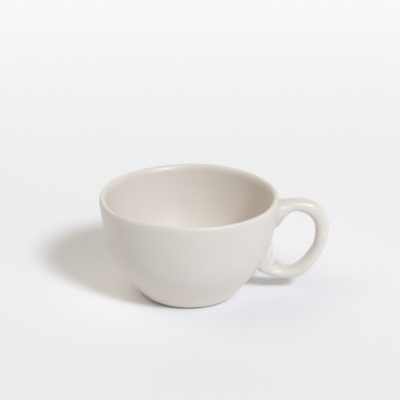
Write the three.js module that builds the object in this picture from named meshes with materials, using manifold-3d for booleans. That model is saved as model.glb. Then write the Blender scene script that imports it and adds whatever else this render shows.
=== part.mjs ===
// A hand-formed stoneware cappuccino cup: a wide bowl on a bare foot, with a rolled coil handle on its wall.
// Millimetres, +Z up. The table is at Z 0, the bowl's axis is Z, and the handle lies in the XZ plane at +X.
import * as THREE from "three";
import { mergeVertices } from "three/addons/utils/BufferGeometryUtils.js";
import Module from "manifold-3d";

const wasm = await Module();
wasm.setup();

// The foot is the bare clay pad that the cup stands on, set in from the edge of the bowl's underside.
const FOOT_HEIGHT = 1;
const FOOT_INSET = 1;
const FOOT_ROUND = 0.4;

// The bowl's wall leaves the heel as a cone, turns a soft shoulder and leans out a little at the rim.
// Angles are degrees from upright. A pull is how far the wall keeps its angle at that end, as a share
// of its length.
const CUP_HEIGHT = 61.6;
const RIM_DIAMETER = 106;
const RIM_LEAN = 7.5;
const RIM_PULL = 0.5;
const HEEL_DIAMETER = 57.2;
const HEEL_RISE = 1;
const HEEL_ROUND = 1.3;
const HEEL_ANGLE = 40.5;
const HEEL_PULL = 0.52;
const WALL_THICKNESS = 4.4;
const FLOOR_THICKNESS = 5;
// Below this share of the wall's length the inside leaves the wall and runs into the floor as a dish.
const DISH_START = 0.2;

// The wall's curve ends this far below the cup's height, in the lip. The lip's crest is set in from the outer
// face, and the lip is rounded from there, by these drops below its top, into the outside and the inside.
const RIM_DROP = 1.45;
const LIP_CREST = 1.8;
const LIP_DROP_OUTSIDE = 4.4;
const LIP_DROP_INSIDE = 5;

// The rim was smoothed by hand, which left it a little oval and its edge a little wavy.
const RIM_OVAL = 0.25;
const RIM_WAVES = [
  { count: 3, height: 0.1, turn: 5 },
  { count: 4, height: 0.33, turn: -16 },
];

// The handle is one rolled coil. Its reach is measured from the wall, its top and bottom to the coil's
// middle.
const HANDLE_REACH = 30;
const HANDLE_TOP_DROP = 6.3;
const HANDLE_BOTTOM_HEIGHT = 12.1;
const COIL_THICKNESS = 8.2;
const COIL_WIDTH = 9.4;
// Each station is a share of the reach, of the way from the handle's bottom to its top, and of the coil's
// thickness. They run from the upper root round to the lower one. Both roots start inside the wall, and are
// thickened where they were pressed on.
const HANDLE_STATIONS = [
  [-0.21, 0.83, 2.1],
  [-0.09, 0.87, 2.12],
  [0.1, 0.945, 1.2],
  [0.34, 1.0, 0.97],
  [0.69, 0.935, 1.05],
  [0.93, 0.71, 1.02],
  [0.99, 0.36, 0.89],
  [0.91, 0.03, 1.02],
  [0.42, 0.02, 0.85],
  [0.02, 0.2, 1.78],
  [-0.2, 0.35, 2.24],
];
// Each root opens sideways like a trumpet: by this much on each side at the wall, and less over this length.
const ROOT_SPREAD = 3.4;
const SPREAD_LENGTH = 7;
// A thickened root is widest towards the outside of the loop, by this share of the gain in thickness.
const ROOT_LEAN = 0.9;
// Its sides are pressed flatter too, fully so from this share of the coil's thickness on. A flatness of 2 is
// an ellipse.
const ROOT_FLATNESS = 3;
const FLATTENED_AT = 1.2;
// Each root lies within this share of the coil's length from its end.
const ROOT_SHARE = 0.25;
// From its end station each root runs straight on by this much, and the wall's shape then cuts it off.
const ROOT_DEPTH = 6;

// Slip, the liquid clay that joins the handle to the wall, lies between them and laps up each root as a bead.
const SLIP_THICKNESS = 1;
const SLIP_LAP = 1;
const SLIP_BEAD = 1.2;
const SLIP_EDGE = 0.5;
// The gap left on each side of the slip, between parts that are cut to one another's shape.
const JOINT_GAP = 0.3;

const TURN_SEGMENTS = 64;
const WALL_STEPS = 16;
const LIP_STEPS = 4;
const CORNER_STEPS = 3;
const DISH_STEPS = 8;
const COIL_RINGS = 54;
const SLIP_RINGS = 24;
const COIL_SIDES = 28;
const HALVINGS = 24;
const MERGE_DISTANCE = 1e-3;

const { clamp, degToRad, lerp } = THREE.MathUtils;

// A step in a profile that leans outwards from upright by an angle in degrees.
function leaning(angle, length) {
  return new THREE.Vector2(Math.sin(degToRad(angle)), Math.cos(degToRad(angle))).multiplyScalar(length);
}

const rimPoint = new THREE.Vector2(RIM_DIAMETER / 2, CUP_HEIGHT - RIM_DROP);
const heelPoint = new THREE.Vector2(HEEL_DIAMETER / 2, FOOT_HEIGHT + HEEL_RISE);
const wallLength = heelPoint.distanceTo(rimPoint);
const wallCurve = new THREE.CubicBezierCurve(
  heelPoint,
  heelPoint.clone().add(leaning(HEEL_ANGLE, HEEL_PULL * wallLength)),
  rimPoint.clone().sub(leaning(RIM_LEAN, RIM_PULL * wallLength)),
  rimPoint,
);

// Where a line through a point with a tangent crosses a height: the corner that a rounding is drawn in.
function cornerAt(point, tangent, height) {
  return point.clone().addScaledVector(tangent, (height - point.y) / tangent.y);
}

const heelCorner = cornerAt(heelPoint, wallCurve.getTangent(0), FOOT_HEIGHT);
const undersideEdge = heelCorner.clone().sub(new THREE.Vector2(HEEL_ROUND, 0));

// A profile point at a share of the wall's length, moved out of the wall's outer face by an offset.
function wallPoint(share, offset) {
  const tangent = wallCurve.getTangent(share);
  const outwards = new THREE.Vector2(tangent.y, -tangent.x);
  return wallCurve.getPoint(share).addScaledVector(outwards, offset);
}

// The radius of the wall's outer face at a height, found by halving the curve.
function wallRadius(height) {
  let low = 0;
  let high = 1;
  for (let step = 0; step < HALVINGS; step++) {
    const middle = (low + high) / 2;
    if (wallCurve.getPoint(middle).y < height) low = middle;
    else high = middle;
  }
  return wallCurve.getPoint(low).x;
}

// The share of the wall at a drop below the top, close to the rim, where its curve keeps its pull.
function lipShare(drop) {
  return 1 + (RIM_DROP - drop) / (3 * RIM_PULL * wallLength);
}

// A profile point close to the rim, by its drop below the top and its depth in from the outer face.
function lipPoint(drop, depth) {
  return rimPoint.clone().add(leaning(RIM_LEAN, RIM_DROP - drop)).add(leaning(RIM_LEAN - 90, depth));
}

// Turns a profile about Z, then gives it the oval and the waves of the hand-smoothed rim, which fade below.
function turned(profile) {
  const geometry = new THREE.LatheGeometry(profile, TURN_SEGMENTS).rotateX(Math.PI / 2);
  const position = geometry.attributes.position;
  for (let i = 0; i < position.count; i++) {
    const [x, y, z] = [position.getX(i), position.getY(i), position.getZ(i)];
    const angle = Math.atan2(y, x);
    const radius = Math.hypot(x, y);
    const rise = clamp((z - heelPoint.y) / (CUP_HEIGHT - heelPoint.y), 0, 1);
    const grown = radius + rise * RIM_OVAL * Math.cos(2 * angle) * (radius / rimPoint.x);
    let lift = 0;
    for (const wave of RIM_WAVES) lift += wave.height * Math.cos(wave.count * (angle - degToRad(wave.turn)));
    position.setXYZ(i, grown * Math.cos(angle), grown * Math.sin(angle), z + rise ** 2 * lift);
  }
  return geometry;
}

function solidOf(geometry) {
  const bare = geometry.clone();
  bare.deleteAttribute("normal");
  bare.deleteAttribute("uv");
  const merged = mergeVertices(bare, MERGE_DISTANCE);
  const mesh = new wasm.Mesh({
    numProp: 3,
    vertProperties: merged.attributes.position.array,
    triVerts: new Uint32Array(merged.index.array),
  });
  return new wasm.Manifold(mesh);
}

function geometryOf(solid) {
  const mesh = solid.getMesh();
  const geometry = new THREE.BufferGeometry();
  geometry.setAttribute("position", new THREE.BufferAttribute(mesh.vertProperties, 3));
  geometry.setIndex(new THREE.BufferAttribute(mesh.triVerts, 1));
  geometry.computeVertexNormals();
  return geometry;
}

function footProfile() {
  const radius = undersideEdge.x - FOOT_INSET;
  const edge = new THREE.Path();
  edge.moveTo(0, 0);
  edge.lineTo(radius - FOOT_ROUND, 0);
  edge.absarc(radius - FOOT_ROUND, FOOT_ROUND, FOOT_ROUND, -Math.PI / 2, 0);
  edge.lineTo(radius, FOOT_HEIGHT);
  edge.lineTo(0, FOOT_HEIGHT);
  return edge.getPoints(CORNER_STEPS);
}

// From the middle of the underside out to the heel, up the wall, over the lip and down the inside to the
// floor.
function bowlProfile() {
  const points = [new THREE.Vector2(0, FOOT_HEIGHT)];
  const heel = new THREE.QuadraticBezierCurve(undersideEdge, heelCorner, heelPoint);
  points.push(...heel.getPoints(CORNER_STEPS));
  const lipStart = lipShare(LIP_DROP_OUTSIDE);
  for (let step = 1; step <= WALL_STEPS; step++) points.push(wallPoint((lipStart * step) / WALL_STEPS, 0));

  const lipEnd = lipShare(LIP_DROP_INSIDE);
  const innerDepth = WALL_THICKNESS - LIP_CREST;
  for (let step = 1; step <= LIP_STEPS; step++) {
    const turn = (Math.PI * step) / (2 * LIP_STEPS);
    points.push(lipPoint(LIP_DROP_OUTSIDE * (1 - Math.sin(turn)), LIP_CREST * (1 - Math.cos(turn))));
  }
  for (let step = 1; step <= LIP_STEPS; step++) {
    const turn = (Math.PI * step) / (2 * LIP_STEPS);
    points.push(lipPoint(LIP_DROP_INSIDE * (1 - Math.cos(turn)), LIP_CREST + innerDepth * Math.sin(turn)));
  }

  for (let step = 1; step <= WALL_STEPS; step++) {
    const share = lerp(lipEnd, DISH_START, step / WALL_STEPS);
    points.push(wallPoint(share, -WALL_THICKNESS));
  }

  const floorHeight = FOOT_HEIGHT + FLOOR_THICKNESS;
  const dishStart = points.at(-1);
  const dishCorner = cornerAt(dishStart, wallCurve.getTangent(DISH_START), floorHeight);
  const dish = new THREE.QuadraticBezierCurve(dishStart, dishCorner, new THREE.Vector2(0, floorHeight));
  points.push(...dish.getPoints(DISH_STEPS).slice(1));
  return points;
}

// The bowl's outside grown by an offset, filled in and carried on above the rim, to cut what joins the wall.
function filledBowl(offset) {
  const points = [];
  for (let step = 0; step <= WALL_STEPS; step++) points.push(wallPoint(step / WALL_STEPS, offset));
  const top = points.at(-1).clone().add(leaning(RIM_LEAN, COIL_THICKNESS));
  points.unshift(new THREE.Vector2(0, points[0].y));
  points.push(top, new THREE.Vector2(0, top.y));
  return solidOf(turned(points));
}

// The coil's middle line, as distance from the axis, height and half thickness.
const handleLine = new THREE.CatmullRomCurve3(
  HANDLE_STATIONS.map(([reachShare, heightShare, thicknessShare]) => {
    const height = lerp(HANDLE_BOTTOM_HEIGHT, CUP_HEIGHT - HANDLE_TOP_DROP, heightShare);
    const distance = wallRadius(height) + reachShare * HANDLE_REACH;
    return new THREE.Vector3(distance, height, (thicknessShare * COIL_THICKNESS) / 2);
  }),
  false,
  "catmullrom",
);

// A sine or cosine of a section's curve, flattened by a power and with its sign kept.
function flattened(value, power) {
  return Math.sign(value) * Math.abs(value) ** power;
}

// A length of the coil between two shares of the handle, with both ends run on.
// The skin gives how far a point of the coil's surface is moved out.
function coil(startShare, endShare, steps, skin) {
  const vertices = [];
  const triangles = [];
  const rings = steps + 3;
  for (let ring = 0; ring < rings; ring++) {
    const step = clamp(ring - 1, 0, steps);
    const share = lerp(startShare, endShare, step / steps);
    const { x: distance, y: height, z: halfThickness } = handleLine.getPoint(share);
    const tangent = handleLine.getTangent(share);
    const along = new THREE.Vector2(tangent.x, tangent.y).normalize();
    const middle = new THREE.Vector2(distance, height).addScaledVector(along, (ring - 1 - step) * ROOT_DEPTH);
    const fromWall = Math.max(0, distance - wallRadius(height));
    const halfWidth = COIL_WIDTH / 2 + ROOT_SPREAD * Math.exp(-fromWall / SPREAD_LENGTH);
    const gain = Math.max(0, halfThickness / (COIL_THICKNESS / 2) - 1);
    const power = 2 / lerp(2, ROOT_FLATNESS, Math.min(1, gain / (FLATTENED_AT - 1)));
    for (let side = 0; side < COIL_SIDES; side++) {
      const angle = (2 * Math.PI * side) / COIL_SIDES;
      const upwards = flattened(Math.cos(angle), power);
      const outwards = flattened(Math.sin(angle), power) * (1 + (ROOT_LEAN * gain * upwards) / (1 + gain));
      const place = (extra) => {
        const across = (halfThickness + extra) * upwards;
        const sideways = (halfWidth + extra) * outwards;
        return [middle.x - across * along.y, sideways, middle.y + across * along.x];
      };
      vertices.push(...place(skin(place(0))));
      if (ring === rings - 1) continue;
      const here = ring * COIL_SIDES + side;
      const beside = ring * COIL_SIDES + ((side + 1) % COIL_SIDES);
      triangles.push(here, beside + COIL_SIDES, beside);
      triangles.push(here, here + COIL_SIDES, beside + COIL_SIDES);
    }
  }
  const last = (rings - 1) * COIL_SIDES;
  for (let side = 1; side < COIL_SIDES - 1; side++) {
    triangles.push(0, side, side + 1);
    triangles.push(last, last + side + 1, last + side);
  }
  const geometry = new THREE.BufferGeometry();
  geometry.setAttribute("position", new THREE.Float32BufferAttribute(vertices, 3));
  geometry.setIndex(triangles);
  return solidOf(geometry);
}

// How far out from the wall the slip starts, the root starts on it, and the slip's lap ends.
const slipTop = JOINT_GAP + SLIP_THICKNESS;
const rootStart = slipTop + JOINT_GAP;
const lapEnd = rootStart + SLIP_LAP;

// The bead of slip is widest on the wall and hollows out to the edge of its lap.
function beadSkin([x, y, z]) {
  const distance = Math.hypot(x, y) - wallRadius(z);
  const share = clamp(1 - distance / lapEnd, 0, 1);
  return JOINT_GAP + lerp(SLIP_EDGE, SLIP_BEAD, share ** 2);
}

const handleSolid = coil(0, 1, COIL_RINGS, () => 0).subtract(filledBowl(rootStart));
const handleRoom = coil(0, 1, COIL_RINGS, () => JOINT_GAP).subtract(filledBowl(slipTop));
const slipRoom = filledBowl(lapEnd).subtract(filledBowl(JOINT_GAP)).subtract(handleRoom);
const upperSlip = slipRoom.intersect(coil(0, ROOT_SHARE, SLIP_RINGS, beadSkin));
const lowerSlip = slipRoom.intersect(coil(1 - ROOT_SHARE, 1, SLIP_RINGS, beadSkin));

const glaze = new THREE.MeshStandardMaterial({ color: 0xe1dbd4, roughness: 0.35, metalness: 0 });
const bareClay = new THREE.MeshStandardMaterial({ color: 0xc9b8a2, roughness: 0.85, metalness: 0 });

const cup = new THREE.Group();
function add(name, geometry, material) {
  const mesh = new THREE.Mesh(geometry, material);
  mesh.name = name;
  cup.add(mesh);
}

add("bowl", turned(bowlProfile()), glaze);
add("foot_pad", turned(footProfile()), bareClay);
add("handle", geometryOf(handleSolid), glaze);
add("upper_slip_joint", geometryOf(upperSlip), glaze);
add("lower_slip_joint", geometryOf(lowerSlip), glaze);

export default cup;
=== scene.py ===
"""A hand-formed cappuccino cup in satin glazed stoneware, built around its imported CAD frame.

Sizes are in millimetres and become metres when a mesh is made. The table is at Z 0, the bowl's axis is Z,
and the handle lies in the XZ plane at +X.
"""

import math

import bpy
import numpy as np
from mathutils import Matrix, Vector, noise


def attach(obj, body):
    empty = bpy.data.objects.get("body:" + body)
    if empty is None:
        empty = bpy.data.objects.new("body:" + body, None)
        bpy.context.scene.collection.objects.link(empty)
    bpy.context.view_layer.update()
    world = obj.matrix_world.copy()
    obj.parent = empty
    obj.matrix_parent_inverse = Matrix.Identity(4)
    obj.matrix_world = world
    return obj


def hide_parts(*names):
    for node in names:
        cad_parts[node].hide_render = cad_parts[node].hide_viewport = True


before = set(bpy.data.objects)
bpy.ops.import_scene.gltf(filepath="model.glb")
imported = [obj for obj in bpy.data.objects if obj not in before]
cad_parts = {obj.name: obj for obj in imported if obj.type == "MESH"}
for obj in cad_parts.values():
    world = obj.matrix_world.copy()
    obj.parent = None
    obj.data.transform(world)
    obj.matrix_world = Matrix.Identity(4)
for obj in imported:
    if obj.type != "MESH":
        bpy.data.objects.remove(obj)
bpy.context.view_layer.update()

MM = 0.001

# The bowl and its foot, as the CAD source has them. Pulls are shares of the wall's length, and the floor's
# dish starts at a share of the wall's curve.
FOOT_HEIGHT = 1.0
FOOT_INSET = 1.0
FOOT_ROUND = 0.4
CUP_HEIGHT = 61.6
RIM_DIAMETER = 106.0
RIM_LEAN = 7.5
RIM_PULL = 0.5
HEEL_DIAMETER = 57.2
HEEL_RISE = 1.0
HEEL_ROUND = 1.3
HEEL_ANGLE = 40.5
HEEL_PULL = 0.52
WALL_THICKNESS = 4.4
FLOOR_THICKNESS = 5.0
DISH_START = 0.2
# The wall's curve ends a little below the top, in the lip, whose crest is set in from the outer face.
RIM_DROP = 1.45
LIP_CREST = 1.8
LIP_DROP_OUTSIDE = 4.4
LIP_DROP_INSIDE = 5.0
RIM_OVAL = 0.25
# Count round the rim, height and turn in degrees of each wave.
RIM_WAVES = [(3, 0.1, 5), (4, 0.33, -16)]

# What the CAD source leaves out: a shallow dip in the rim, with its turn in degrees, and a heel that is wider
# along X, which fades up the wall by a power, a little higher off the table and crisper.
RIM_DIP = 0.9
RIM_DIP_TURN = -27
RIM_DIP_NARROWNESS = 18
HEEL_OVAL = 0.5
HEEL_OVAL_FADE = 5
HEEL_LIFT = 0.25
HEEL_CRISP_ROUND = 0.7

# The handle, as the CAD source has it: shares of the reach, of the height and of the coil's thickness.
HANDLE_REACH = 30.0
HANDLE_TOP_DROP = 6.3
HANDLE_BOTTOM_HEIGHT = 12.1
COIL_THICKNESS = 8.2
COIL_WIDTH = 9.4
HANDLE_STATIONS = [
    (-0.21, 0.83, 2.1),
    (-0.09, 0.87, 2.12),
    (0.1, 0.945, 1.2),
    (0.34, 1.0, 0.97),
    (0.69, 0.935, 1.05),
    (0.93, 0.71, 1.02),
    (0.99, 0.36, 0.89),
    (0.91, 0.03, 1.02),
    (0.42, 0.02, 0.85),
    (0.02, 0.2, 1.78),
    (-0.2, 0.35, 2.24),
]
# The pressed roots spread by this much at the wall, fading over a length, and are wider above than below.
ROOT_SPREAD = 3.4
SPREAD_LENGTH = 7.0
ROOT_LEAN = 0.9
# Their section gets flat sides, by this power, in full where it is this many times as thick as the coil.
ROOT_FLATNESS = 3.0
FLATTENED_AT = 1.2
# Past its end stations the coil runs straight on into the wall: a further share, and how deep that takes it.
ROOT_RUN_ON = 0.05
ROOT_DEPTH = 6.0
# Half way along, where the search for its roots starts, the coil is clear of the wall.
COIL_MIDDLE = 0.5

# How far the fillet of each pressed root reaches over the coil and over the wall, and for which share of that
# it follows them. In a narrow corner, by the cosine of its angle, the slip is wiped out and it is smaller.
FILLET_ON_COIL = 1.7
FILLET_ON_WALL = 1.2
NARROW_FILLET = 0.9
NARROW_CORNER = (0.1, 0.75)
FILLET_HOLD = 0.6
# How deep the fillet's edge and the closed end of the root lie in the wall.
SEAM_SINK = 0.02
ROOT_SINK = 1.2

# The wall was smoothed by hand: the width and height of its shallow swells. They are full between two heights
# and fade out towards the rim and the heel and, inside, towards the floor.
SWELLS = [(21.0, 0.3), (9.0, 0.1)]
SWELLS_FULL_FROM, SWELLS_FULL_TO = 12.0, 46.0
INSIDE_SWELLS_FROM, INSIDE_SWELLS_FULL_FROM = 10.0, 20.0
# The coil's own swells, its thin glaze and its gloss fade in between these distances along it from the wall.
COIL_SWELLS = [(13.0, 0.14), (6.0, 0.05)]
COIL_FADE = (2.5, 11.0)

# Marks of the wiped slip along each seam: how far from the wall each lies, its half width and its depth.
# The upper seam has a low bead, and the lower one a groove with a low bead beside it.
UPPER_SEAM = [(0.8, 0.9, -0.15)]
LOWER_SEAM = [(1.3, 1.3, 0.6), (3.4, 1.3, -0.3)]

# The glaze: two clouded tones, and its tones where it is thin over the lip and the coil, the lip's partly a
# painted highlight, and pooled in the seams. Painted light: lighter and warmer round the heel, for light
# bounced up from the table, and lighter inside the bowl, for fill light there, where the glaze is also dry.
GLAZE_WARM = (0.762, 0.707, 0.653, 1)
GLAZE_COOL = (0.755, 0.714, 0.668, 1)
GLAZE_THIN_AND_LIP_HIGHLIGHT = (0.83, 0.786, 0.74, 1)
GLAZE_POOLED = (0.745, 0.695, 0.642, 1)
GLAZE_PAINTED_BOUNCE = (0.885, 0.8, 0.708, 1)
GLAZE_PAINTED_FILL = (0.774, 0.724, 0.674, 1)
GLAZE_SHADE = (0.985, 1.0)
GLAZE_ROUGHNESS = (0.31, 0.38)
# How thin it is on the lip, there partly a painted highlight, and on the coil, how patchy, and how far the
# thin lip and the heel's painted bounce light reach.
RIM_THINNESS_AND_HIGHLIGHT = 0.75
COIL_THINNESS = 0.7
PATCHINESS = (0.6, 0.9)
EDGE_DEPTH = 2.2
PAINTED_BOUNCE_HEIGHT = 20.0
# The inside is rougher, and lighter as painted fill light, fully so from a depth, and the coil is smoother by
# a share of that roughness.
DRY_ROUGHNESS = 0.13
DRY_AND_FILL_DEPTH = 9.0
COIL_GLOSS = 0.4
RIPPLE_HEIGHT = 0.012
DIMPLE_HEIGHT = 0.003

# The bare clay under the foot, and the spiral that the turning tool left there.
CLAY_DARK = (0.545, 0.44, 0.325, 1)
CLAY_PALE = (0.62, 0.515, 0.395, 1)
CLAY_GROG = (0.7, 0.61, 0.49, 1)
CLAY_ROUGHNESS = (0.85, 0.95)
GROG_NOISE = (0.6, 0.68)
GROG_SHARE = 0.6
GRIT_HEIGHT = 0.06
TURNING_PITCH = 1.9
TURNING_DEPTH = 0.14
TURNING_START = 0.5

# The width and the octaves of detail of each noise in the glaze and the clay, and the range of most of it.
TONE_CLOUDS = (17.0, 2)
PATCHES = (9.0, 1)
SHADE_CLOUDS = (2.2, 3)
SATIN_CLOUDS = (7.0, 3)
RIPPLES = (3.2, 1)
DIMPLES = (0.7, 2)
CLAY_CLOUDS = (9.0, 3)
MATTE_CLOUDS = (1.5, 2)
GROG_GRAINS = (0.8, 2)
GRIT_GRAINS = (0.35, 3)
CLOUD_NOISE = (0.3, 0.7)

# How finely the pieces are cut. The coil's rings crowd towards its roots by a share.
TURN_SEGMENTS = 240
WALL_STEPS = 64
LIP_STEPS = 14
HEEL_STEPS = 8
DISH_STEPS = 30
COIL_RINGS = 190
END_CROWDING = 0.75
COIL_SIDES = 72
FILLET_STEPS = 12
FOOT_STEPS = 160
FOOT_ROUND_STEPS = 8
UNDERSIDE_STEPS = 6
# Fans close the undersides of the bowl and the foot inside these radii, and the foot's top inside a share of
# its own.
BOWL_AXIS_RING = 0.5
FOOT_AXIS_RING = 0.3
FOOT_TOP_SHARE = 0.5
# How finely the wall is traced, its slope is measured and the coil's roots are searched for.
TRACE_STEPS = 1600
NUDGE = 0.01
HALVINGS = 40
SHARE_STEP = 0.0005
MARCH_STEPS = 240


def leaning(angle, length):
    """A step in a profile that leans outwards from upright by an angle in degrees."""
    return length * np.array([math.sin(math.radians(angle)), math.cos(math.radians(angle))])


def lerp(start, end, share):
    return start + (end - start) * share


def unit(vectors):
    return vectors / np.linalg.norm(vectors, axis=-1, keepdims=True)


def smoothstep(low, high, values):
    share = np.clip((values - low) / (high - low), 0, 1)
    return share * share * (3 - 2 * share)


def bezier(corners, shares):
    """Points of a Bezier curve at the given shares of it, and its unit tangents there."""
    shares = np.asarray(shares, float)[..., None]
    level = [np.asarray(corner, float) for corner in corners]
    while len(level) > 2:
        level = [lerp(start, end, shares) for start, end in zip(level, level[1:])]
    start, end = level
    return lerp(start, end, shares), unit(end - start)


rim_point = np.array([RIM_DIAMETER / 2, CUP_HEIGHT - RIM_DROP])
heel_point = np.array([HEEL_DIAMETER / 2, FOOT_HEIGHT + HEEL_RISE])
wall_length = np.linalg.norm(rim_point - heel_point)
wall_corners = [
    heel_point,
    heel_point + leaning(HEEL_ANGLE, HEEL_PULL * wall_length),
    rim_point - leaning(RIM_LEAN, RIM_PULL * wall_length),
    rim_point,
]
wall_trace = bezier(wall_corners, np.linspace(0, 1, TRACE_STEPS))[0]


def corner_at(point, tangent, height):
    """Where a line through a point with a tangent crosses a height."""
    return point + tangent * (height - point[1]) / tangent[1]


heel_tangent = leaning(HEEL_ANGLE, 1)
foot_radius = corner_at(heel_point, heel_tangent, FOOT_HEIGHT)[0] - HEEL_ROUND - FOOT_INSET
foot_edge = np.array([foot_radius, FOOT_HEIGHT])
heel_corner = corner_at(heel_point, heel_tangent, FOOT_HEIGHT + HEEL_LIFT)
underside_edge = heel_corner - HEEL_CRISP_ROUND * unit(heel_corner - foot_edge)


def wall_points(shares, offsets):
    """Profile points at shares of the wall, moved out of its outer face by offsets."""
    points, tangents = bezier(wall_corners, shares)
    outwards = np.stack([tangents[:, 1], -tangents[:, 0]], axis=1)
    return points + outwards * np.asarray(offsets, float)[..., None]


def lip_share(drop):
    """The share of the wall's curve at a drop below the top, by the curve's pace at the rim."""
    return 1 + (RIM_DROP - drop) / (3 * RIM_PULL * wall_length)


def lip_points(drops, depths):
    """Profile points close to the rim, by their drop below the top and their depth in from the outer face."""
    upwards, inwards = leaning(RIM_LEAN, 1), leaning(RIM_LEAN - 90, 1)
    return rim_point + upwards * (RIM_DROP - drops)[:, None] + inwards * depths[:, None]


def rise_of(heights):
    """How far up the wall a height is, from 0 at the heel to 1 at the top of the rim."""
    return np.clip((heights - heel_point[1]) / (CUP_HEIGHT - heel_point[1]), 0, 1)


def rim_lift(angles):
    """How much the waves and the dip of the hand-smoothed rim lift it at each angle."""
    waves = sum(height * np.cos(count * (angles - math.radians(turn))) for count, height, turn in RIM_WAVES)
    near_dip = np.maximum(0, np.cos(angles - math.radians(RIM_DIP_TURN)))
    return waves - RIM_DIP * near_dip**RIM_DIP_NARROWNESS


def swell(points, swells):
    """The height of the hand-smoothed swells at each point."""
    flat = points.reshape(-1, 3)
    heights = np.zeros(len(flat))
    for width, height in swells:
        heights += [height * noise.noise(Vector(point) / width) for point in flat]
    return heights.reshape(points.shape[:-1])


def wall_swell(points):
    """The outer wall's swells, which fade out towards the heel and the rim."""
    heights = points[..., 2]
    low_fade = smoothstep(heel_point[1], SWELLS_FULL_FROM, heights)
    high_fade = 1 - smoothstep(SWELLS_FULL_TO, rim_point[1], heights)
    return low_fade * high_fade * swell(points, SWELLS)


def inside_swell(points):
    """The inside's swells, which fade out towards the floor and the rim and differ from the outer wall's."""
    heights = points[..., 2]
    low_fade = smoothstep(INSIDE_SWELLS_FROM, INSIDE_SWELLS_FULL_FROM, heights)
    high_fade = 1 - smoothstep(SWELLS_FULL_TO, rim_point[1], heights)
    return low_fade * high_fade * swell(-points, SWELLS)


def stretch(rise, angles):
    """How much the hand-formed oval of the rim and of the heel widens the wall."""
    rim = RIM_OVAL / rim_point[0] * rise * np.cos(2 * angles)
    heel = HEEL_OVAL / heel_point[0] * (1 - rise) ** HEEL_OVAL_FADE * np.cos(angles) ** 2
    return 1 + rim + heel


def turned(radii, heights):
    """Rings of points from a profile turned about Z, with the ovals and the waves of the hand-formed wall."""
    angles = np.linspace(0, 2 * math.pi, TURN_SEGMENTS, endpoint=False)
    rise = rise_of(heights)[:, None]
    grown = radii[:, None] * stretch(rise, angles)
    lifted = heights[:, None] + rise**2 * rim_lift(angles)
    return np.stack([grown * np.cos(angles), grown * np.sin(angles), lifted], axis=-1)


def wall_radius(points):
    """The radius of the wall's outer face at the height and on the side of each point."""
    angles = np.arctan2(points[..., 1], points[..., 0])
    rise = rise_of(points[..., 2])
    plain = np.interp(points[..., 2] - rise**2 * rim_lift(angles), wall_trace[:, 1], wall_trace[:, 0])
    return plain * stretch(rise, angles)


def clearance(points):
    """How far each point stands out of the wall's outer face, level with it."""
    return np.hypot(points[..., 0], points[..., 1]) - wall_radius(points)


def wall_outwards(points):
    """The direction square to the wall's outer face near each point."""
    slopes = [clearance(points + nudge) - clearance(points - nudge) for nudge in NUDGE * np.eye(3)]
    return unit(np.stack(slopes, axis=-1))


def on_wall(points, sink):
    """The points moved along their radius to the swelling outer face of the wall, and sunk into it."""
    radius = np.hypot(points[..., 0], points[..., 1])
    share = wall_radius(points) / radius
    moved = points * np.stack([share, share, np.ones_like(share)], axis=-1)
    share = 1 + (wall_swell(moved) - sink) / np.hypot(moved[..., 0], moved[..., 1])
    return moved * np.stack([share, share, np.ones_like(share)], axis=-1)


def ring_faces(rings, sides):
    """Quads between rings of points, each ring closed round its sides."""
    ring, side = np.meshgrid(np.arange(rings - 1), np.arange(sides), indexing="ij")
    here = (ring * sides + side).ravel()
    beside = (ring * sides + (side + 1) % sides).ravel()
    return np.stack([here, beside, beside + sides, here + sides], axis=1).tolist()


def cap_faces(first, sides, middle, flipped):
    """Triangles from a ring of points to one point in its middle."""
    faces = []
    for side in range(sides):
        here, beside = first + side, first + (side + 1) % sides
        faces.append((beside, here, middle) if flipped else (here, beside, middle))
    return faces


def make_piece(name, points, faces, material, attributes, normals=()):
    """A smooth mesh object from points in millimetres, with named values at its points.

    Faces whose points all have a given normal are shaded by it. The rest, which close the ends, stay flat.
    """
    mesh = bpy.data.meshes.new(name)
    mesh.from_pydata((np.asarray(points) * MM).tolist(), [], faces)
    for key, values in attributes.items():
        layer = mesh.attributes.new(key, "FLOAT", "POINT")
        layer.data.foreach_set("value", np.asarray(values, np.float32).ravel())
    mesh.shade_smooth()
    mesh.materials.append(material)
    if len(normals):
        corner_normals = []
        for face in mesh.polygons:
            skin = all(index < len(normals) for index in face.vertices)
            for index in face.vertices:
                corner_normals.append(tuple(normals[index]) if skin else tuple(face.normal))
        mesh.normals_split_custom_set(corner_normals)
    mesh.validate()
    piece = bpy.data.objects.new(name, mesh)
    bpy.context.scene.collection.objects.link(piece)
    return piece


def closed_tube(rings, first_flipped):
    """Points and faces of rings closed at both ends by a fan round the middle of the end ring."""
    count, sides = rings.shape[:2]
    points = np.concatenate([rings.reshape(-1, 3), rings[:1].mean(axis=1), rings[-1:].mean(axis=1)])
    faces = ring_faces(count, sides)
    faces += cap_faces(0, sides, count * sides, first_flipped)
    faces += cap_faces((count - 1) * sides, sides, count * sides + 1, not first_flipped)
    return points, faces


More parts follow.
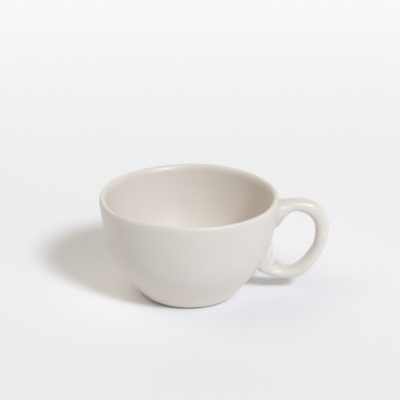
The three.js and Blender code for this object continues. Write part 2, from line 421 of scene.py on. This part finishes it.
def bowl_profile():
    """Radii and heights from under the foot, up the wall, over the lip and down the inside.

    With them comes how many of these points lie before the lip.
    """
    under = np.linspace(BOWL_AXIS_RING, foot_radius, UNDERSIDE_STEPS)
    underside = np.stack([under, np.full_like(under, FOOT_HEIGHT)], axis=1)
    heel = bezier([underside_edge, heel_corner, heel_point], np.linspace(0, 1, HEEL_STEPS))[0]
    wall = wall_points(np.linspace(0, lip_share(LIP_DROP_OUTSIDE), WALL_STEPS + 1)[1:], 0)

    turns = np.linspace(0, math.pi / 2, LIP_STEPS + 1)[1:]
    shares = np.linspace(lip_share(LIP_DROP_INSIDE), DISH_START, WALL_STEPS + 1)
    lip_depth = WALL_THICKNESS - LIP_CREST
    outer_lip = lip_points(LIP_DROP_OUTSIDE * (1 - np.sin(turns)), LIP_CREST * (1 - np.cos(turns)))
    inner_lip = lip_points(LIP_DROP_INSIDE * (1 - np.cos(turns)), LIP_CREST + lip_depth * np.sin(turns))
    inside = wall_points(shares, -WALL_THICKNESS)[1:]
    tangent = bezier(wall_corners, [DISH_START])[1][0]
    floor_height = FOOT_HEIGHT + FLOOR_THICKNESS
    dish_corner = corner_at(inside[-1], tangent, floor_height)
    dish = bezier([inside[-1], dish_corner, [0, floor_height]], np.linspace(0, 1, DISH_STEPS))[0][1:-1]
    outside_count = len(underside) + len(heel) + len(wall)
    return np.concatenate([underside, heel, wall, outer_lip, inner_lip, inside, dish]), outside_count


def make_bowl(material):
    """The glazed bowl: thin lip partly a painted highlight, painted bounce light at the heel, dry inside with
    painted fill.
    """
    profile, outside_count = bowl_profile()
    rings = turned(profile[:, 0], profile[:, 1])
    crest = outside_count + LIP_STEPS
    for part, part_swell in ((rings[:outside_count], wall_swell), (rings[crest + LIP_STEPS:], inside_swell)):
        radius = np.hypot(part[..., 0], part[..., 1])
        part[..., :2] *= (1 + part_swell(part) / radius)[..., None]
    points, faces = closed_tube(rings, True)
    heights = points[:, 2] - rim_lift(np.arctan2(points[:, 1], points[:, 0]))
    # The thin lip's lighter tone is partly a painted highlight.
    edge = RIM_THINNESS_AND_HIGHLIGHT * smoothstep(CUP_HEIGHT - EDGE_DEPTH, CUP_HEIGHT, heights)
    # Painted light bounced up from the table: the outside is lighter and warmer towards the heel.
    painted_bounce = 1 - smoothstep(FOOT_HEIGHT, FOOT_HEIGHT + PAINTED_BOUNCE_HEIGHT, heights)
    inside = np.append(np.repeat(np.arange(len(rings)) >= crest, TURN_SEGMENTS), [False, True])
    # Inside: rougher glaze, and a lighter tone that is painted fill light.
    dry_and_painted_fill = inside * smoothstep(0, DRY_AND_FILL_DEPTH, CUP_HEIGHT - heights)
    attributes = {"edge": edge, "pool": np.zeros(len(points)), "dry_and_painted_fill": dry_and_painted_fill, "painted_bounce": painted_bounce * ~inside}
    return make_piece("bowl_glazed", points, faces, material, attributes)


def handle_line(shares):
    """The coil's middle line as distance from the axis, height and half thickness, with its direction."""
    stations = []
    for reach_share, height_share, thickness_share in HANDLE_STATIONS:
        height = lerp(HANDLE_BOTTOM_HEIGHT, CUP_HEIGHT - HANDLE_TOP_DROP, height_share)
        distance = np.interp(height, wall_trace[:, 1], wall_trace[:, 0]) + reach_share * HANDLE_REACH
        stations.append((distance, height, thickness_share * COIL_THICKNESS / 2))
    knots = np.array(stations)
    knots = np.concatenate([[2 * knots[0] - knots[1]], knots, [2 * knots[-1] - knots[-2]]])
    place = np.clip(shares, 0, 1) * (len(stations) - 1)
    index = np.minimum(place.astype(int), len(stations) - 2)
    step = (place - index)[..., None]
    before, start, end, after = (knots[index + i] for i in range(4))
    slope_start, slope_end = (end - before) / 2, (after - start) / 2
    square = 3 * (end - start) - 2 * slope_start - slope_end
    cube = 2 * (start - end) + slope_start + slope_end
    middle = start + step * (slope_start + step * (square + step * cube))
    along = unit((slope_start + step * (2 * square + 3 * step * cube))[..., :2])
    run_on = (shares - np.clip(shares, 0, 1)) / ROOT_RUN_ON * ROOT_DEPTH
    middle[..., :2] += along * run_on[..., None]
    return middle, along


def coil_points(shares, angles):
    """Points of the coil's skin at shares of its length and angles round it."""
    middle, along = handle_line(shares)
    half_thickness = middle[..., 2]
    from_wall = np.maximum(0, middle[..., 0] - np.interp(middle[..., 1], wall_trace[:, 1], wall_trace[:, 0]))
    half_width = COIL_WIDTH / 2 + ROOT_SPREAD * np.exp(-from_wall / SPREAD_LENGTH)
    gain = np.maximum(0, half_thickness / (COIL_THICKNESS / 2) - 1)
    power = 2 / lerp(2, ROOT_FLATNESS, np.minimum(1, gain / (FLATTENED_AT - 1)))
    upwards = np.sign(np.cos(angles)) * np.abs(np.cos(angles)) ** power
    outwards = np.sign(np.sin(angles)) * np.abs(np.sin(angles)) ** power
    across = half_thickness * upwards
    sideways = half_width * outwards * (1 + ROOT_LEAN * gain / (1 + gain) * upwards)
    return np.stack(
        [middle[..., 0] - across * along[..., 1], sideways, middle[..., 1] + across * along[..., 0]],
        axis=-1,
    )


def root_fillet(last_share, angles):
    """Where each line along the coil's skin leaves it for a fillet, and the fillet's rings down to the wall.

    With them comes the ring that closes the root, sunk into the wall.
    """
    clear = np.full(COIL_SIDES, COIL_MIDDLE)
    inside = np.full(COIL_SIDES, last_share)
    for _ in range(HALVINGS):
        middle = (clear + inside) / 2
        outside = clearance(coil_points(middle, angles)) > 0
        clear = np.where(outside, middle, clear)
        inside = np.where(outside, inside, middle)
    step = math.copysign(SHARE_STEP, COIL_MIDDLE - last_share)
    shares = clear + step * np.arange(MARCH_STEPS)[:, None]
    lines = coil_points(shares, angles[None, :])
    corner = lines[0]
    distances = travelled(lines)

    round_root = np.roll(corner, -1, axis=0) - np.roll(corner, 1, axis=0)
    away = unit(np.cross(round_root, wall_outwards(corner)))
    away *= np.sign(np.sum(away * (corner - corner.mean(axis=0))))
    backwards = unit(lines[1] - corner)
    narrow = smoothstep(*NARROW_CORNER, np.sum(backwards * away, axis=-1))
    on_coil = lerp(FILLET_ON_COIL, NARROW_FILLET, narrow)
    reach = lerp(FILLET_ON_WALL, NARROW_FILLET / 2, narrow)[:, None]

    leave = np.array([np.interp(on_coil[i], distances[:, i], shares[:, i]) for i in range(COIL_SIDES)])
    start = coil_points(leave, angles)
    inwards = unit(coil_points(leave - step, angles) - start)
    end = on_wall(corner + reach * away, SEAM_SINK)
    near_start = start + inwards * FILLET_HOLD * on_coil[:, None]
    near_end = on_wall(end - away * FILLET_HOLD * reach, SEAM_SINK)
    corners = [start, near_start, near_end, end]
    fillet = [bezier(corners, np.full(COIL_SIDES, share))[0] for share in np.linspace(0, 1, FILLET_STEPS + 1)]
    return leave, np.array(fillet), on_wall(corner, ROOT_SINK)


def skin_normals(rings):
    """Outward directions at the points of a skin of rings, from their neighbours along and round it."""
    before, after = np.diff(rings, axis=0)[:-1], np.diff(rings, axis=0)[1:]
    length_before, length_after = (np.linalg.norm(part, axis=-1, keepdims=True) for part in (before, after))
    along = np.empty_like(rings)
    along[1:-1] = before / length_before * length_after + after / length_after * length_before
    along[0] = rings[1] - rings[0]
    along[-1] = rings[-1] - rings[-2]
    round_ring = np.roll(rings, -1, axis=1) - np.roll(rings, 1, axis=1)
    return unit(np.cross(round_ring, along))


def travelled(rings):
    """How far each point of a skin of rings lies along it from the first ring."""
    steps = np.linalg.norm(np.diff(rings, axis=0), axis=-1)
    return np.concatenate([np.zeros((1, rings.shape[1])), np.cumsum(steps, axis=0)])


def make_handle(material):
    """The coil and the two slip joints that blend it into the wall, cut from one smooth skin.

    The angles run backwards, so that the faces between the rings point outwards.
    """
    angles = np.linspace(0, -2 * math.pi, COIL_SIDES, endpoint=False)
    upper_leave, upper, upper_sunk = root_fillet(-ROOT_RUN_ON, angles)
    lower_leave, lower, lower_sunk = root_fillet(1 + ROOT_RUN_ON, angles)
    spread = np.linspace(0, 1, COIL_RINGS)[:, None]
    spread = lerp(spread, (1 - np.cos(math.pi * spread)) / 2, END_CROWDING)
    coil = coil_points(lerp(upper_leave, lower_leave, spread), angles[None, :])
    skin = np.concatenate([upper[::-1], coil[1:-1], lower])
    coil_first, coil_last = FILLET_STEPS, FILLET_STEPS + COIL_RINGS - 1
    from_upper, from_lower = travelled(skin), travelled(skin[::-1])[::-1]
    free = smoothstep(*COIL_FADE, np.minimum(from_upper, from_lower))
    dents = free * swell(skin, COIL_SWELLS)
    for marks, from_wall in ((UPPER_SEAM, from_upper), (LOWER_SEAM, from_lower)):
        for place, half_width, depth in marks:
            dents += depth * (1 - smoothstep(0, half_width, np.abs(from_wall - place)))
    skin -= skin_normals(skin) * dents[..., None]
    normals = skin_normals(skin)
    wet = np.zeros(skin.shape[:2])
    wet[:coil_first + 1] = np.linspace(1, 0, FILLET_STEPS + 1)[:, None]
    wet[coil_last:] = np.linspace(0, 1, FILLET_STEPS + 1)[:, None]
    values = {"edge": COIL_THINNESS * free, "pool": wet, "dry_and_painted_fill": -COIL_GLOSS * free, "painted_bounce": 0 * wet}

    pieces = []
    for name, first, last, sunk_first, sunk_last in (
        ("handle_coil", coil_first, coil_last, None, None),
        ("upper_slip_fillet", 0, coil_first, upper_sunk, None),
        ("lower_slip_fillet", coil_last, len(skin) - 1, None, lower_sunk),
    ):
        rows = np.arange(first, last + 1)
        rings = skin[rows]
        if sunk_first is not None:
            rings = np.concatenate([sunk_first[None], rings])
            rows = np.append(first, rows)
        if sunk_last is not None:
            rings = np.concatenate([rings, sunk_last[None]])
            rows = np.append(rows, last)
        points, faces = closed_tube(rings, True)
        attributes = {}
        for key, value in values.items():
            shown = value[rows]
            attributes[key] = np.concatenate([shown.ravel(), [shown[0].mean(), shown[-1].mean()]])
        pieces.append(make_piece(name, points, faces, material, attributes, normals[rows].reshape(-1, 3)))
    return pieces


def make_foot(material):
    """The bare pad that the cup stands on, with the turning tool's spiral under it."""
    turns = np.linspace(-math.pi / 2, 0, FOOT_ROUND_STEPS)
    round_middle = np.array([foot_radius - FOOT_ROUND, FOOT_ROUND])
    edge = round_middle + FOOT_ROUND * np.stack([np.cos(turns), np.sin(turns)], axis=1)
    flat = np.linspace(FOOT_AXIS_RING, foot_radius - FOOT_ROUND, FOOT_STEPS)[:-1]
    under = np.stack([flat, np.zeros_like(flat)], axis=1)
    top = np.array([[foot_radius, FOOT_HEIGHT], [foot_radius * FOOT_TOP_SHARE, FOOT_HEIGHT]])
    profile = np.concatenate([under, edge, top])
    rings = turned(profile[:, 0], profile[:, 1])
    marked = rings[:len(under)]
    spread = np.hypot(marked[..., 0], marked[..., 1])
    turn = 2 * math.pi * spread / TURNING_PITCH - np.arctan2(marked[..., 1], marked[..., 0])
    inner_fade = smoothstep(TURNING_START, 2 * TURNING_PITCH, spread)
    outer_fade = 1 - smoothstep(foot_radius - TURNING_PITCH, foot_radius, spread)
    marked[..., 2] += TURNING_DEPTH * inner_fade * outer_fade * (1 - np.cos(turn)) / 2
    points, faces = closed_tube(rings, True)
    return make_piece("foot_bare", points, faces, material, {})


def new_material(name):
    """A new material's node tree and its shader."""
    material = bpy.data.materials.new(name)
    material.use_nodes = True
    return material, material.node_tree, material.node_tree.nodes["Principled BSDF"]


def add_node(tree, kind, inputs, **settings):
    """A node of a kind with its settings, and with its inputs set to values or linked to other outputs."""
    node = tree.nodes.new(kind)
    for key, value in settings.items():
        setattr(node, key, value)
    for key, value in inputs.items():
        if isinstance(value, bpy.types.NodeSocket):
            tree.links.new(value, node.inputs[key])
        else:
            node.inputs[key].default_value = value
    return node


def clouds(tree, width, detail):
    """Soft noise with blots of about a width in millimetres, from 0 to 1."""
    place = add_node(tree, "ShaderNodeTexCoord", {}).outputs["Object"]
    inputs = {"Vector": place, "Scale": 1 / (width * MM), "Detail": detail, "Roughness": 0.5}
    return add_node(tree, "ShaderNodeTexNoise", inputs).outputs["Fac"]


def remap(tree, value, low, high, new_low, new_high):
    """A value mapped from one range to another and held inside it."""
    inputs = {"Value": value, "From Min": low, "From Max": high, "To Min": new_low, "To Max": new_high}
    return add_node(tree, "ShaderNodeMapRange", inputs).outputs["Result"]


def clouded(tree, kind, low, high):
    """A value that noise of a kind, by its width and detail, moves between two limits."""
    return remap(tree, clouds(tree, *kind), *CLOUD_NOISE, low, high)


def roughened(tree, kind, height, **under):
    """The direction of a surface with bumps of a kind, up to a height in millimetres."""
    inputs = {"Height": clouds(tree, *kind), "Distance": height * MM, **under}
    return add_node(tree, "ShaderNodeBump", inputs).outputs["Normal"]


def worked_out(tree, operation, first, second):
    """The result of an operation on two numbers."""
    return add_node(tree, "ShaderNodeMath", {0: first, 1: second}, operation=operation).outputs[0]


def times(tree, first, second):
    return worked_out(tree, "MULTIPLY", first, second)


def blend_colours(tree, share, first, second):
    """A colour between two colours, by a share."""
    node = add_node(tree, "ShaderNodeMix", {"Factor": share, "A": first, "B": second}, data_type="RGBA")
    return node.outputs["Result"]


def mesh_value(tree, name):
    return add_node(tree, "ShaderNodeAttribute", {}, attribute_name=name).outputs["Fac"]


def glaze_material():
    """Warm satin glaze, clouded and dimpled, thin, pooled, dry inside, with painted lip highlight, heel
    bounce and inside fill.
    """
    material, tree, shader = new_material("satin_glaze")
    tone = blend_colours(tree, clouded(tree, TONE_CLOUDS, 0, 1), GLAZE_WARM, GLAZE_COOL)
    patches = clouded(tree, PATCHES, *PATCHINESS)
    # Inside the bowl the lighter tone is painted fill light.
    tone = blend_colours(tree, mesh_value(tree, "dry_and_painted_fill"), tone, GLAZE_PAINTED_FILL)
    # Round the heel the lighter tone is painted bounce light, and on the lip the thin tone is partly a
    # painted highlight.
    for part, part_tone in (("painted_bounce", GLAZE_PAINTED_BOUNCE), ("edge", GLAZE_THIN_AND_LIP_HIGHLIGHT), ("pool", GLAZE_POOLED)):
        tone = blend_colours(tree, times(tree, mesh_value(tree, part), patches), tone, part_tone)
    shade = clouded(tree, SHADE_CLOUDS, *GLAZE_SHADE)
    shaded = add_node(tree, "ShaderNodeVectorMath", {0: tone, "Scale": shade}, operation="SCALE")
    tree.links.new(shaded.outputs["Vector"], shader.inputs["Base Color"])
    drier = times(tree, mesh_value(tree, "dry_and_painted_fill"), DRY_ROUGHNESS)
    satin = worked_out(tree, "ADD", clouded(tree, SATIN_CLOUDS, *GLAZE_ROUGHNESS), drier)
    tree.links.new(satin, shader.inputs["Roughness"])
    rippled = roughened(tree, RIPPLES, RIPPLE_HEIGHT)
    dimpled = roughened(tree, DIMPLES, DIMPLE_HEIGHT, Normal=rippled)
    tree.links.new(dimpled, shader.inputs["Normal"])
    return material


def clay_material():
    """Bare fired clay: warm, matte and gritty, with pale grog."""
    material, tree, shader = new_material("bare_clay")
    tone = blend_colours(tree, clouded(tree, CLAY_CLOUDS, 0, 1), CLAY_DARK, CLAY_PALE)
    grog = remap(tree, clouds(tree, *GROG_GRAINS), *GROG_NOISE, 0, GROG_SHARE)
    tree.links.new(blend_colours(tree, grog, tone, CLAY_GROG), shader.inputs["Base Color"])
    tree.links.new(clouded(tree, MATTE_CLOUDS, *CLAY_ROUGHNESS), shader.inputs["Roughness"])
    tree.links.new(roughened(tree, GRIT_GRAINS, GRIT_HEIGHT), shader.inputs["Normal"])
    return material


glaze = glaze_material()
clay = clay_material()
bowl = make_bowl(glaze)
handle, upper_slip, lower_slip = make_handle(glaze)
foot = make_foot(clay)
for piece, node, slot in (
    (bowl, "bowl", "glaze"),
    (handle, "handle", "glaze"),
    (upper_slip, "upper_slip_joint", "glaze"),
    (lower_slip, "lower_slip_joint", "glaze"),
    (foot, "foot_pad", "bare_clay"),
):
    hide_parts(node)
    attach(piece, "root")

# Stage, in metres: a wide pale table, a cool sun from the front right and a room with soft bright sides.
FLOOR_SIZE = 12.0
FLOOR_COLOUR = (0.942, 0.952, 0.985, 1)
# Behind the cup the camera sees the table glow a little, from one distance on and in full from another.
FLOOR_GLOW = 0.1
FLOOR_GLOW_FROM, FLOOR_GLOW_TO = 0.2, 0.75
# The sun's direction and its width across are in degrees.
KEY_AZIMUTH, KEY_ELEVATION = 36.35, 41.3
KEY_ANGLE = 11.7
KEY_STRENGTH = 1.72
KEY_COLOUR = (0.823, 0.879, 1.0)
# Azimuth from the front towards the right, elevation, narrowness and light of each soft side of the room.
ROOM_SIDES = [
    (0, 45, 12, (0.8, 0.78, 0.62)),
    (45, 30, 12, (1.25, 1.2, 1.1)),
    (115, 4, 12, (1.6, 1.57, 1.45)),
    (180, 18, 5, (1.17, 1.15, 1.12)),
    (225, 4, 12, (1.3, 1.2, 0.95)),
    (270, 60, 12, (2.05, 1.86, 1.64)),
]


def towards(azimuth, elevation):
    """The direction of an azimuth, from the front towards the right, and an elevation."""
    turn, rise = math.radians(azimuth), math.radians(elevation)
    return Vector((math.sin(turn) * math.cos(rise), -math.cos(turn) * math.cos(rise), math.sin(rise)))


floor_mesh = bpy.data.meshes.new("floor")
half = FLOOR_SIZE / 2
floor_corners = [(-half, -half, 0), (half, -half, 0), (half, half, 0), (-half, half, 0)]
floor_mesh.from_pydata(floor_corners, [], [(0, 1, 2, 3)])
floor = bpy.data.objects.new("floor", floor_mesh)
bpy.context.scene.collection.objects.link(floor)
floor_material, floor_tree, floor_shader = new_material("floor_paper")
floor_shader.inputs["Base Color"].default_value = FLOOR_COLOUR
floor_shader.inputs["Roughness"].default_value = 1.0
floor_shader.inputs["Specular IOR Level"].default_value = 0.0
floor_place = add_node(floor_tree, "ShaderNodeNewGeometry", {}).outputs["Position"]
floor_depth = add_node(floor_tree, "ShaderNodeSeparateXYZ", {"Vector": floor_place}).outputs["Y"]
far_glow = remap(floor_tree, floor_depth, FLOOR_GLOW_FROM, FLOOR_GLOW_TO, 0, FLOOR_GLOW)
seen_direct = add_node(floor_tree, "ShaderNodeLightPath", {}).outputs["Is Camera Ray"]
floor_shader.inputs["Emission Color"].default_value = (1, 1, 1, 1)
floor_tree.links.new(times(floor_tree, far_glow, seen_direct), floor_shader.inputs["Emission Strength"])
floor_mesh.materials.append(floor_material)

key_data = bpy.data.lights.new("key", "SUN")
key_data.angle = math.radians(KEY_ANGLE)
key_data.energy = KEY_STRENGTH
key_data.color = KEY_COLOUR
key = bpy.data.objects.new("key", key_data)
key.rotation_euler = towards(KEY_AZIMUTH, KEY_ELEVATION).to_track_quat("Z", "Y").to_euler()
bpy.context.scene.collection.objects.link(key)

world = bpy.data.worlds.new("room")
world.use_nodes = True
room = world.node_tree
facing = add_node(room, "ShaderNodeTexCoord", {}).outputs["Generated"]
room_light = (0, 0, 0)
for azimuth, elevation, narrowness, colour in ROOM_SIDES:
    directions = {0: facing, 1: towards(azimuth, elevation)}
    side = add_node(room, "ShaderNodeVectorMath", directions, operation="DOT_PRODUCT").outputs["Value"]
    soft = worked_out(room, "POWER", worked_out(room, "MAXIMUM", side, 0), narrowness)
    light = add_node(room, "ShaderNodeVectorMath", {0: colour, "Scale": soft}, operation="SCALE")
    lights = {0: room_light, 1: light.outputs["Vector"]}
    room_light = add_node(room, "ShaderNodeVectorMath", lights, operation="ADD").outputs["Vector"]
room.links.new(room_light, room.nodes["Background"].inputs["Color"])
bpy.context.scene.world = world

# The camera looks from the front, with the handle to the right. It is turned off a point on the bowl's axis
# by some pixels of the picture.
PICTURE_SIDE = 400
FOCAL_PIXELS = 1509.5
SENSOR_WIDTH = 36.0
CAMERA_DISTANCE = 900.0
CAMERA_ELEVATION = 23.47
AIM_HEIGHT = 30.5
AIM_RIGHT_PIXELS = 10.75
AIM_UP_PIXELS = 43.0

camera_data = bpy.data.cameras.new("camera")
camera_data.sensor_width = SENSOR_WIDTH
camera_data.lens = SENSOR_WIDTH * FOCAL_PIXELS / PICTURE_SIDE
camera = bpy.data.objects.new("camera", camera_data)
elevation = math.radians(CAMERA_ELEVATION)
back = Vector((0, -math.cos(elevation), math.sin(elevation)))
camera.location = (Vector((0, 0, AIM_HEIGHT)) + back * CAMERA_DISTANCE) * MM
up = Vector((0, math.sin(elevation), math.cos(elevation)))
look = -back * FOCAL_PIXELS + Vector((AIM_RIGHT_PIXELS, 0, 0)) + up * AIM_UP_PIXELS
camera.rotation_euler = look.to_track_quat("-Z", "Y").to_euler()
bpy.context.scene.collection.objects.link(camera)
bpy.context.scene.camera = camera

bpy.context.scene.view_settings.view_transform = "Standard"
